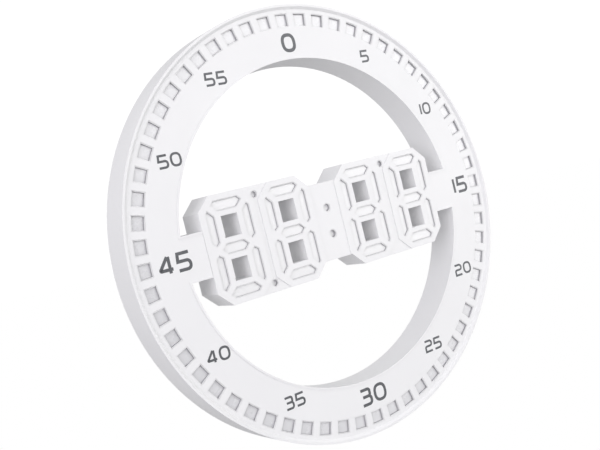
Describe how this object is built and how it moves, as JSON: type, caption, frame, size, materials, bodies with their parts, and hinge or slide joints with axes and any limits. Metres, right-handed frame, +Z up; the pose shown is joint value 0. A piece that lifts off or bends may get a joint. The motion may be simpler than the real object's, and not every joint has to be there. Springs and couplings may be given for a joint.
{
  "type": "wall clock",
  "caption": "Ring-shaped digital wall clock: a ring of light windows for the seconds round a bridge with see-through seven-segment digits.",
  "frame": {"origin": "centre of the clock's bounding box, on the ring's axis, halfway between the wall face and the front of the rim", "axes": "+X to the right seen from the front, +Z up, -Y out of the front, +Y towards the wall"},
  "size_m": [0.303, 0.0262, 0.303],
  "materials": {
    "shell_white": "satin moulded ABS",
    "cover_white": "fine textured moulded ABS",
    "key_white": "satin",
    "diffuser": "translucent opal",
    "light_frame": "light-tight moulded",
    "reflector": "satin",
    "circuit_board": "white solder mask",
    "led": "phosphor and resin",
    "chip": "moulded epoxy",
    "black_plastic": "moulded",
    "bright_metal": "plated",
    "cell_steel": "nickel plated",
    "screw_steel": "zinc plated",
    "ribbon": "flexible film",
    "dial_ink": "screen-printed silver grey"
  },
  "bodies": {
    "root": {"ring_front": "shell_white", "ring_back": "cover_white", "display_front": "shell_white", "display_back": "cover_white", "second_diffuser": "diffuser", "second_reflector": "reflector", "dot_light_pipes": "diffuser", "board_links": "ribbon", "second_leds": "led", "display_board": "circuit_board", "segment_leds": "led", "dot_leds": "led", "display_drivers": "chip", "control_board": "circuit_board", "microcontroller": "chip", "clock_crystal": "bright_metal", "supply_capacitors": "bright_metal", "buzzer": "black_plastic", "inlet_housing": "black_plastic", "inlet_pin": "bright_metal", "board_header": "black_plastic", "key_switches": "black_plastic", "coin_cell": "cell_steel", "cell_holder": "black_plastic", "cell_contact": "bright_metal", "case_screws": "screw_steel", "display_screws": "screw_steel", "board_screws": "screw_steel", "control_screws": "screw_steel", "tongue_screws": "screw_steel", "display_ribbon": "ribbon", "ribbon_plugs": "black_plastic", "second_window_frames": "light_frame", "segment_frames": "light_frame", "dot_sleeves": "light_frame", "hour_tens_diffuser": "diffuser", "hour_tens_reflector": "reflector", "hour_units_diffuser": "diffuser", "hour_units_reflector": "reflector", "minute_tens_diffuser": "diffuser", "minute_tens_reflector": "reflector", "minute_units_diffuser": "diffuser", "minute_units_reflector": "reflector", "second_board_upper_right": "circuit_board", "second_board_lower_right": "circuit_board", "second_board_lower_left": "circuit_board", "second_board_upper_left": "circuit_board"},
    "set_key": {"set_key_cap": "key_white", "set_key_plunger": "black_plastic"},
    "down_key": {"down_key_cap": "key_white", "down_key_plunger": "black_plastic"},
    "up_key": {"up_key_cap": "key_white", "up_key_plunger": "black_plastic"},
    "mode_key": {"mode_key_cap": "key_white", "mode_key_plunger": "black_plastic"},
    "cell_cover": {"cell_cover": "cover_white"}
  },
  "joints": [
    {"name": "set_key_press", "type": "slide", "parent": "root", "child": "set_key", "axis": [0, -1, 0], "range_m": [0, 0.0003], "stiffness_N_per_m": 3000, "springref_m": -0.0001},
    {"name": "down_key_press", "type": "slide", "parent": "root", "child": "down_key", "axis": [0, -1, 0], "range_m": [0, 0.0003], "stiffness_N_per_m": 3000, "springref_m": -0.0001},
    {"name": "up_key_press", "type": "slide", "parent": "root", "child": "up_key", "axis": [0, -1, 0], "range_m": [0, 0.0003], "stiffness_N_per_m": 3000, "springref_m": -0.0001},
    {"name": "mode_key_press", "type": "slide", "parent": "root", "child": "mode_key", "axis": [0, -1, 0], "range_m": [0, 0.0003], "stiffness_N_per_m": 3000, "springref_m": -0.0001},
    {"name": "cell_cover_turn", "type": "hinge", "parent": "root", "child": "cell_cover", "pos_m": [-0.05187, 0.0122, -0.1222], "axis": [0, 1, 0], "range_deg": [0, 40]}
  ]
}
